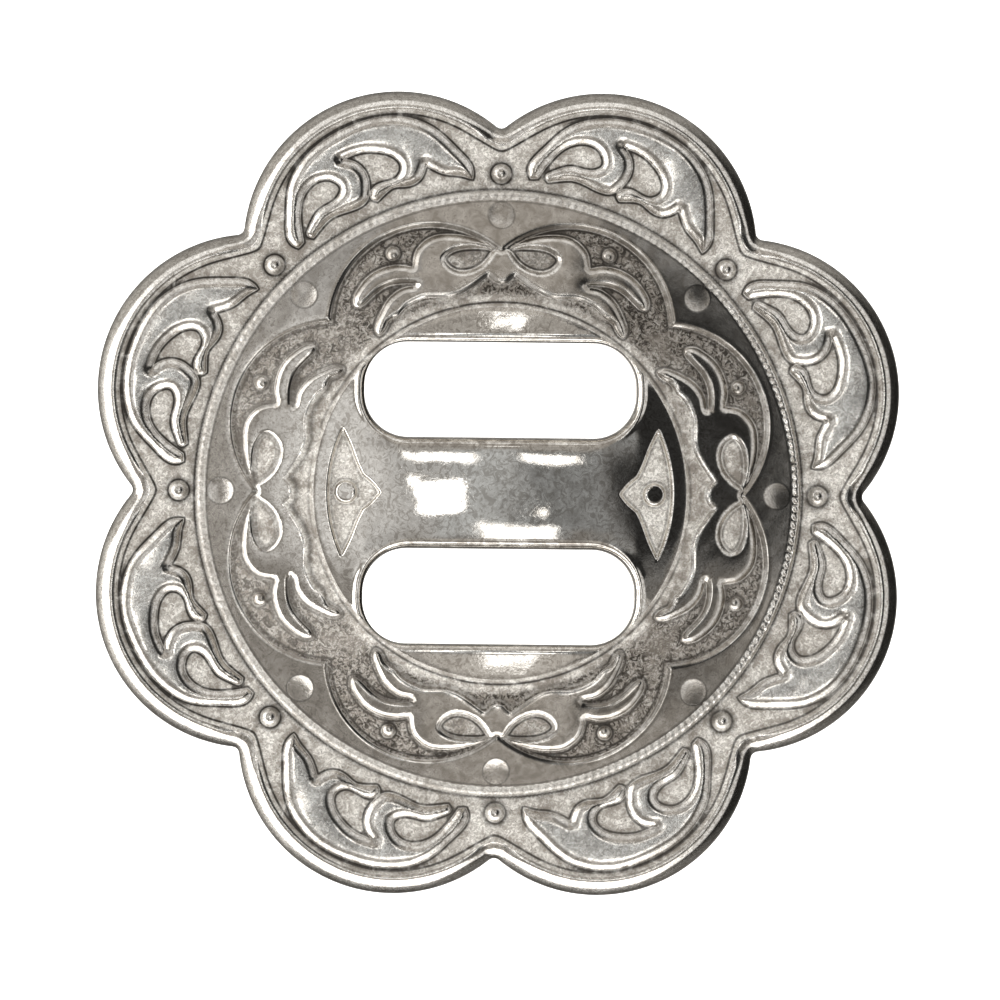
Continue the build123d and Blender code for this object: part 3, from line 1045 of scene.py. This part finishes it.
# The casting as one closed mesh: face, walls and back.
def conchoMesh():
    points, loops = facePoints()
    faces = netOver(points, loops).tolist()
    at = placesOf(points)
    z, masks = faceHeight(points, at), finishMasks(at)
    vertices = [np.column_stack([points, z])]
    total = len(points)

    rims = [(*rimLine(density["outer"]), flange["backRound"])]
    rims += [(*slotLine(side, density["slot"]), back["slotRound"]) for side in (1, -1)]
    backLoops, backRings = [], []
    first = 0
    for line, ways, rounding in rims:
        ring = np.arange(first, first + len(line))
        first += len(line)
        for inset, height in wallLevels(z[ring], backHeight(line + ways * rounding), rounding):
            vertices.append(np.column_stack([line + ways * inset, height]))
            newRing = np.arange(total, total + len(line))
            faces += band(ring, newRing).tolist()
            ring = newRing
            total += len(line)
        backLoops.append(line + ways * rounding)
        backRings.append(ring)

    points, triangles = backNet(backLoops)
    extra = points[first:]
    vertices.append(np.column_stack([extra, backHeight(extra)]))
    numbers = np.concatenate(backRings + [np.arange(total, total + len(extra))])
    faces += numbers[triangles].tolist()

    mesh = bpy.data.meshes.new("concho")
    vertices = np.vstack(vertices) * mm
    mesh.from_pydata(vertices.tolist(), [], faces)
    everywhere = np.zeros((len(vertices), len(maskNames)), np.float32)
    everywhere[: len(masks)] = masks  # the walls and the back stay plain
    for column, name in enumerate(maskNames):
        mesh.attributes.new(name, "FLOAT", "POINT").data.foreach_set("value", everywhere[:, column].copy())
    work = bmesh.new()
    work.from_mesh(mesh)
    bmesh.ops.recalc_face_normals(work, faces=work.faces[:])
    openEdges = sum(1 for edge in work.edges if len(edge.link_faces) != 2)
    work.to_mesh(mesh)
    work.free()
    mesh.shade_smooth()
    print("casting", len(mesh.vertices), "vertices", len(mesh.polygons), "faces", openEdges, "open edges")
    return mesh


# Node helpers
class Tree:
    def __init__(self, owner):
        owner.use_nodes = True
        self.nodes, self.links = owner.node_tree.nodes, owner.node_tree.links
        self.nodes.clear()

    def add(self, kind, settings=None, **inputs):
        node = self.nodes.new(kind)
        for name, value in (settings or {}).items():
            setattr(node, name, value)
        for name, value in inputs.items():
            key = int(name[1:]) if name[0] == "i" and name[1:].isdigit() else name.replace("_", " ")
            self.feed(node.inputs[key], value)
        return node

    def feed(self, socket, value):
        if isinstance(value, bpy.types.NodeSocket):
            self.links.new(value, socket)
        else:
            socket.default_value = value

    def math(self, operation, a, b=0.0):
        return self.add("ShaderNodeMath", {"operation": operation}, i0=a, i1=b).outputs[0]

    def plus(self, a, b):
        return self.math("ADD", a, b)

    def times(self, a, b):
        return self.math("MULTIPLY", a, b)

    def less(self, a, b):
        return self.math("SUBTRACT", a, b)

    def larger(self, a, b):
        return self.math("MAXIMUM", a, b)

    def range(self, value, low, high, toLow=0.0, toHigh=1.0, smooth=False):
        kind = {"interpolation_type": "SMOOTHSTEP" if smooth else "LINEAR"}
        node = self.add("ShaderNodeMapRange", kind, i0=value, i1=low, i2=high, i3=toLow, i4=toHigh)
        return node.outputs[0]

    def mix(self, share, a, b):
        node = self.add("ShaderNodeMix", {"data_type": "RGBA"})
        for socket, value in zip((node.inputs[0], node.inputs[6], node.inputs[7]), (share, a, b)):
            self.feed(socket, value)
        return node.outputs[2]

    def mask(self, name):
        return self.add("ShaderNodeAttribute", {"attribute_name": name}).outputs["Fac"]

    def noise(self, scale, detail, rough, distortion):
        settings = {"Scale": scale, "Detail": detail, "Roughness": rough, "Distortion": distortion}
        return self.add("ShaderNodeTexNoise", Vector=self.place, **settings).outputs[0]


silver = {
    "polished": (0.95, 0.915, 0.855, 1),
    "matt": (0.97, 0.94, 0.88, 1),
    "film": (0.42, 0.385, 0.34, 1),
    "brown": (0.21, 0.182, 0.152, 1),
    # the black of oxide, also used for painted shade in the crevices and the sunk ground
    "oxideAndShade": (0.02, 0.017, 0.014, 1),
    "mattRoughness": 0.72,
    "sandyRoughness": 0.6,
    "reliefRoughness": 0.15,
    "polishRoughness": 0.05,
    "specular": 0.25,
    "mattMetal": 0.2,
    "sandyMetal": 0.65,
    "bumpStrength": 0.45,
    "bumpHeight": 0.00006,
    "polishedFilm": 0.35,
    "polishedBump": 0.05,
}
# Noises of the finish: scale, detail, roughness and distortion
patterns = {
    "sand": (9000, 2, 0.6, 0.0),
    "grain": (5200, 3, 0.65, 1.2),
    "blotch": (1300, 3, 0.6, 0.6),
    "cloud": (330, 3, 0.55, 0.8),
    "streak": (1900, 4, 0.65, 2.2),
    "vein": (3100, 4, 0.65, 1.8),
}
# Layers of the finish: the mask, noise or earlier layer that each follows, the values of it between
# which the layer comes in and, where they stand, how strong the layer is at either end.
layers = {
    "raised": ("top", 0, 0.07),
    "filmShare": ("sandyAndShade", 0, 1, 0.85, 1.0),
    "filmFrom": ("raised", 0, 1, 0.37, 0.32),
    "filmTo": ("raised", 0, 1, 0.59, 0.68),
    "filmBlotch": ("blotch", 0.45, 0.72, 0.0, 0.3),
    "filmCloud": ("cloud", 0.45, 0.65, 0.0, 0.3),
    "filmSandy": ("blotch", 0.35, 0.65, 0.5, 1.0),
    "worn": ("streak", 0.46, 0.57, 0.0, 0.8),
    "stain": ("blotch", 0.36, 0.6, 0.0, 0.7),
    # stippled and sunk follow the sandy mask, so they carry its painted shade
    "stippled": ("sandyAndShade", 0.5, 1.0),
    "stipple": ("grain", 0.42, 0.54, 0.0, 0.85),
    "sunk": ("sandyAndShade", 0.3, 0.9),
    "sunkBrown": ("vein", 0.4, 0.58, 0.35, 0.95),
    "lineOuter": ("edge", -0.13, -0.08),
    "lineInner": ("edge", -0.01, 0.03, 1.0, 0.0),
    "lineBlotch": ("blotch", 0.3, 0.5, 0.646, 0.95),
    "speck": ("sand", 0.65, 0.73, 0.0, 0.7),
    "darkCloud": ("cloud", 0.42, 0.56, 0.25, 1.0),
    "darkVein": ("vein", 0.46, 0.57, 0.0, 0.85),
    "dullCloud": ("cloud", 0.4, 0.7, 0.0, 0.06),
    "ground": ("sandyAndShade", 0, 1, silver["mattRoughness"], silver["sandyRoughness"]),
    "metal": ("sandyAndShade", 0, 1, silver["mattMetal"], silver["sandyMetal"]),
    "bump": ("raised", 0, 1, 1.0, 0.11),
}
reliefEdge = (0.2, 0.9)  # how far raised the gloss of the relief starts, and is full


def antiqueSilver():
    material = bpy.data.materials.new("antiqueSilver")
    tree = Tree(material)
    tree.place = tree.add("ShaderNodeTexCoord").outputs["Object"]
    part = {name: tree.mask(name) for name in maskNames}
    part.update({name: tree.noise(*values) for name, values in patterns.items()})
    for name, (source, *ends) in layers.items():
        part[name] = tree.range(part[source], *ends)
    raised = part["raised"]
    level = tree.less(1.0, raised)
    polished = tree.times(part["polish"], raised)

    # a thin dull film on everything, more of it on the dome's sandy ground
    filmShare = tree.less(part["filmShare"], tree.times(polished, silver["polishedFilm"]))
    film = tree.range(part["grain"], part["filmFrom"], part["filmTo"])
    film = tree.plus(tree.times(film, filmShare), part["filmBlotch"])
    film = tree.plus(film, tree.times(part["filmCloud"], level))
    film = tree.larger(film, tree.times(part["sandyAndShade"], part["filmSandy"]))
    film = tree.larger(film, tree.times(part["worn"], polished))
    # brown stain beside the relief, and dark pits and painted shade in the sunk ground
    stipple = tree.times(tree.times(part["stippled"], level), part["stipple"])
    brown = tree.larger(tree.times(part["grime"], part["stain"]), stipple)
    sunk = tree.times(part["sunk"], level)
    brown = tree.larger(brown, tree.times(sunk, part["sunkBrown"]))
    # black of oxide and painted shade at the feet of the relief, black specks, and oxide with painted shade
    # in the sunk ground
    line = tree.times(tree.times(part["lineOuter"], part["lineInner"]), part["creviceShade"])
    line = tree.times(tree.larger(part["foot"], line), part["lineBlotch"])
    black = tree.larger(line, tree.times(level, part["speck"]))
    deep = tree.times(tree.larger(part["grime"], part["darkCloud"]), part["darkVein"])
    black = tree.larger(black, tree.times(sunk, deep))
    colour = tree.mix(raised, silver["matt"], silver["polished"])
    for share, name in ((film, "film"), (brown, "brown"), (black, "oxideAndShade")):
        colour = tree.mix(share, colour, silver[name])

    rough = tree.range(raised, *reliefEdge, part["ground"], silver["reliefRoughness"])
    smoother = silver["polishRoughness"] - silver["reliefRoughness"]
    rough = tree.plus(rough, tree.times(polished, smoother))
    rough = tree.plus(rough, tree.times(part["dullCloud"], tree.less(1.0, polished)))
    metal = tree.range(raised, *reliefEdge, part["metal"], 1.0)
    share = tree.less(part["bump"], tree.times(polished, silver["polishedBump"]))
    height = tree.times(tree.plus(part["grain"], part["blotch"]), share)
    strength, distance = silver["bumpStrength"], silver["bumpHeight"]
    bump = tree.add("ShaderNodeBump", Strength=strength, Distance=distance, Height=height)
    shader = tree.add("ShaderNodeBsdfPrincipled", Base_Color=colour, Roughness=rough, Metallic=metal)
    tree.feed(shader.inputs["Normal"], bump.outputs[0])
    shader.inputs["Specular IOR Level"].default_value = silver["specular"]
    tree.add("ShaderNodeOutputMaterial", Surface=shader.outputs[0])
    return material


# A new object in the scene.
def placed(name, data):
    thing = bpy.data.objects.new(name, data)
    bpy.context.collection.objects.link(thing)
    return thing


concho = placed("conchoCasting", conchoMesh())
concho.data.materials.append(antiqueSilver())
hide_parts("concho")
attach(concho, "root")
print("concho made")


# Studio: a white floor, and a tent of soft cards with a black one on the right
studio = {
    "floorSize": 6.0,
    "floorDrop": 0.00002,
    "floorGrey": 0.9,
    "floorRoughness": 0.8,
    "floorGlow": 1.0,
}
# Each card spans angles from straight up, towards +X and towards +Y, and then come the width of its
# soft edge, its brightness and its colour. Later cards hang in front of earlier ones.
warm, white, cool, tan = (1, 0.96, 0.91), (1, 1, 1), (0.95, 0.98, 1), (1, 0.97, 0.92)
cards = [
    ((-120, -8), (-180, 180), 10, 0.5, white),
    ((-46, -19), (-22, 40), 10, 0.76, white),
    ((-120, -47), (-180, 180), 8, 0.37, warm),
    ((-30, 62), (-100, -27), 10, 0.55, warm),
    ((-40, 62), (-120, -46), 8, 0.45, warm),
    ((-60, -15), (-60, -15), 9, 0.32, warm),
    ((-26, 30), (18, 120), 12, 0.42, warm),
    ((-26, 30), (37, 66), 8, 0.56, warm),
    ((-9, 5), (-20, 20), 5, 0.57, cool),
    ((5, 21), (-20, 20), 5, 0.29, cool),
    ((22, 54), (-48, -18), 8, 0.17, warm),
    ((17, 27), (-30, -14), 6, 0.26, warm),
    ((23, 60), (-16, 48), 9, 0.03, white),
    ((-14.3, -6.3), (-5, 3.4), 1, 3.5, white),
    ((7, 9.8), (-6.2, -3.4), 1, 3.0, white),
    ((-13, -3), (10.6, 16.8), 1.5, 2.6, white),
    ((5.7, 16), (10.6, 16.8), 1.5, 2.6, white),
    ((-0.7, 6.7), (32.3, 34.6), 1, 3.0, white),
    ((-2.2, 13), (-24, -11), 3, 2.6, white),
    ((-1.5, 10), (-32.5, -29.5), 2, 2.4, white),
]
# Beyond the cards the tent opens on a bright ring at the horizon, and what lies below it, by side.
# The ring reaches lower by as many degrees as lower, but not at the top and on the right. The fades
# are the shares of the way towards a side over which its brightness comes in.
horizon = {
    "dome": 0.3,
    "from": 64,
    "to": 98,
    "edge": 5,
    "lower": 17,
    "lowerFade": (0.2, 0.6),
    "ring": {"side": 3.4, "top": 1.1, "right": 0.8, "bottom": 3.4},
    "below": {"side": 0.6, "top": 0.4, "right": 0.02, "bottom": 0.15},
    "fade": {"top": (0.35, 0.8), "right": (0.3, 0.75), "bottom": (-0.8, -0.35)},
}


def studioWorld():
    world = bpy.data.worlds.new("studio")
    tree = Tree(world)
    way = tree.add("ShaderNodeTexCoord").outputs["Generated"]
    way = tree.add("ShaderNodeSeparateXYZ", Vector=way).outputs
    degrees = 180 / math.pi
    leanX = tree.times(tree.math("ARCTAN2", way[0], way[2]), degrees)
    leanY = tree.times(tree.math("ARCTAN2", way[1], way[2]), degrees)
    lean = tree.times(tree.math("ARCCOSINE", way[2]), degrees)

    def soft(value, low, high, toLow=0.0, toHigh=1.0):
        return tree.range(value, low, high, toLow, toHigh, smooth=True)

    light = (horizon["dome"],) * 3 + (1,)
    for spanX, spanY, edge, bright, tint in cards:
        cover = 1.0
        for value, (low, high) in ((leanX, spanX), (leanY, spanY)):
            cover = tree.times(cover, soft(value, low - edge / 2, low + edge / 2))
            cover = tree.times(cover, soft(value, high - edge / 2, high + edge / 2, 1.0, 0.0))
        light = tree.mix(cover, light, tuple(c * bright for c in tint) + (1,))
    lower = soft(way[1], *horizon["lowerFade"], horizon["lower"], 0.0)
    lower = tree.less(lean, soft(way[0], *horizon["lowerFade"], lower, 0.0))
    rings = ((lean, "from", "ring", white), (lower, "to", "below", tan))
    for angle, start, name, tint in rings:
        glow, fade, start = horizon[name], horizon["fade"], horizon[start]
        level = soft(way[1], *fade["bottom"], glow["bottom"], glow["side"])
        level = soft(way[1], *fade["top"], level, glow["top"])
        level = soft(way[0], *fade["right"], level, glow["right"])
        red, green, blue = [tree.times(level, c) for c in tint]
        ring = tree.add("ShaderNodeCombineColor", i0=red, i1=green, i2=blue).outputs[0]
        light = tree.mix(soft(angle, start, start + horizon["edge"]), light, ring)
    tree.add("ShaderNodeOutputWorld", Surface=tree.add("ShaderNodeBackground", Color=light).outputs[0])
    bpy.context.scene.world = world


# A soft sun that lifts only the dull surfaces.
fill = {"power": 1.45, "spread": 50, "lean": 10, "towards": 20}


def fillLight():
    data = bpy.data.lights.new("fill", "SUN")
    data.energy, data.angle = fill["power"], math.radians(fill["spread"])
    light = placed("fill", data)
    light.rotation_euler = 0, math.radians(fill["lean"]), math.radians(fill["towards"])
    light.visible_glossy = False


def whiteFloor():
    material = bpy.data.materials.new("whiteFloor")
    material.use_nodes = True
    shader = material.node_tree.nodes["Principled BSDF"]
    shader.inputs["Base Color"].default_value = (studio["floorGrey"],) * 3 + (1,)
    shader.inputs["Roughness"].default_value = studio["floorRoughness"]
    shader.inputs["Emission Color"].default_value = (1, 1, 1, 1)
    shader.inputs["Emission Strength"].default_value = studio["floorGlow"]
    half = studio["floorSize"] / 2
    mesh = bpy.data.meshes.new("floor")
    corners = [(-half, -half, 0), (half, -half, 0), (half, half, 0), (-half, half, 0)]
    mesh.from_pydata(corners, [], [(0, 1, 2, 3)])
    mesh.materials.append(material)
    floor = placed("floor", mesh)
    floor.location.z = -studio["floorDrop"]
    floor.visible_glossy = False


# The camera looks almost straight down, a little from the left.
view = {
    "lens": 600,
    "sensor": 36,
    "frameWidth": 0.05269,
    "tilt": 1.7,
    "turn": 0.58,
    "lookAt": (0.00009, -0.00035, 0.0018),
    "clip": (0.01, 20),
}


def photoCamera():
    data = bpy.data.cameras.new("camera")
    data.lens, data.sensor_width = view["lens"], view["sensor"]
    data.clip_start, data.clip_end = view["clip"]
    away = Matrix.Translation((0, 0, view["frameWidth"] * view["lens"] / view["sensor"]))
    leaning = Matrix.Rotation(-math.radians(view["tilt"]), 4, "Y")
    turn = Matrix.Rotation(math.radians(view["turn"]), 4, "Z")
    camera = placed("camera", data)
    camera.matrix_world = Matrix.Translation(view["lookAt"]) @ leaning @ turn @ away
    bpy.context.scene.camera = camera


studioWorld()
fillLight()
whiteFloor()
photoCamera()
bpy.context.scene.view_settings.view_transform = "Standard"
print("studio set")
